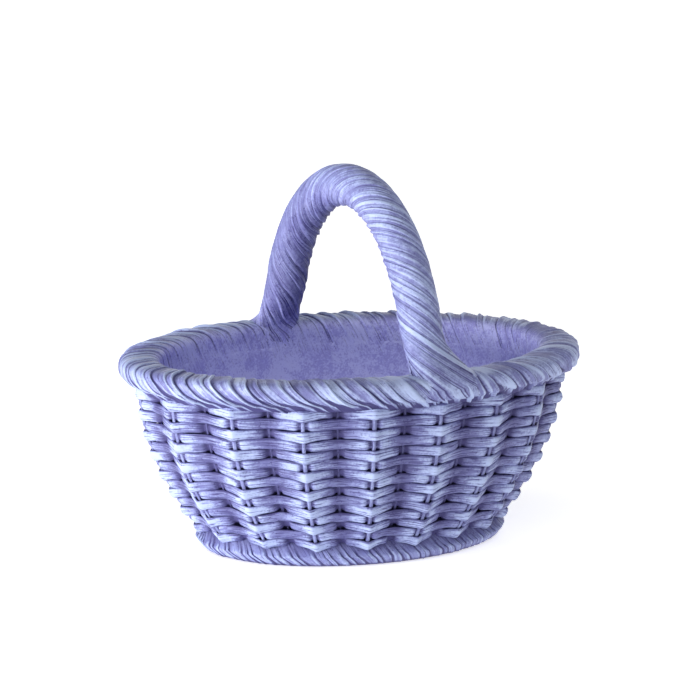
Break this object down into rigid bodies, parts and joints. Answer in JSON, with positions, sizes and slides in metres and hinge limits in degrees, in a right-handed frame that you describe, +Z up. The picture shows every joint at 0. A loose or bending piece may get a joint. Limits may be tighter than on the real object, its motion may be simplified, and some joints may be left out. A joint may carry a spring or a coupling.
{
  "type": "resin basket",
  "caption": "Oval open basket of cast resin in a wicker pattern, with a rope rim and foot, a smooth bowl and a fixed arched handle for carrying.",
  "frame": {"origin": "on the floor under the middle of the basket", "axes": "+Z up, +X along the oval's length, the handle spans Y over the middle"},
  "size_m": [0.2998, 0.2374, 0.2355],
  "materials": {
    "bowl": "smooth cast resin, mottled lavender blue",
    "foot": "cast resin rope, lavender with a dark wash in the lay",
    "rim": "cast resin rope, lavender with pale dry-brushed edges",
    "handle": "cast resin rope, lavender with pale dry-brushed ridges",
    "weave": "cast resin strips with a fine grain, pale edges and dark seams",
    "ridge_stakes": "cast resin, pale dry-brushed lavender",
    "valley_stakes": "cast resin, dark violet wash"
  },
  "bodies": {
    "root": {"inner_bowl": "bowl", "foot_border": "foot", "rim_border": "rim", "handle": "handle", "weave_course_01": "weave", "weave_course_02": "weave", "weave_course_03": "weave", "weave_course_04": "weave", "weave_course_05": "weave", "weave_course_06": "weave", "weave_course_07": "weave", "weave_course_08": "weave", "weave_course_09": "weave", "weave_course_10": "weave", "weave_course_11": "weave", "weave_course_12": "weave", "weave_course_13": "weave", "weave_course_14": "weave", "weave_course_15": "weave", "ridge_stake_01": "ridge_stakes", "ridge_stake_02": "ridge_stakes", "ridge_stake_03": "ridge_stakes", "ridge_stake_04": "ridge_stakes", "ridge_stake_05": "ridge_stakes", "ridge_stake_06": "ridge_stakes", "ridge_stake_07": "ridge_stakes", "ridge_stake_08": "ridge_stakes", "ridge_stake_09": "ridge_stakes", "ridge_stake_10": "ridge_stakes", "ridge_stake_11": "ridge_stakes", "ridge_stake_12": "ridge_stakes", "ridge_stake_13": "ridge_stakes", "ridge_stake_14": "ridge_stakes", "ridge_stake_15": "ridge_stakes", "ridge_stake_16": "ridge_stakes", "ridge_stake_17": "ridge_stakes", "ridge_stake_18": "ridge_stakes", "valley_stake_01": "valley_stakes", "valley_stake_02": "valley_stakes", "valley_stake_03": "valley_stakes", "valley_stake_04": "valley_stakes", "valley_stake_05": "valley_stakes", "valley_stake_06": "valley_stakes", "valley_stake_07": "valley_stakes", "valley_stake_08": "valley_stakes", "valley_stake_09": "valley_stakes", "valley_stake_10": "valley_stakes", "valley_stake_11": "valley_stakes", "valley_stake_12": "valley_stakes", "valley_stake_13": "valley_stakes", "valley_stake_14": "valley_stakes", "valley_stake_15": "valley_stakes", "valley_stake_16": "valley_stakes", "valley_stake_17": "valley_stakes", "valley_stake_18": "valley_stakes"}
  },
  "joints": []
}
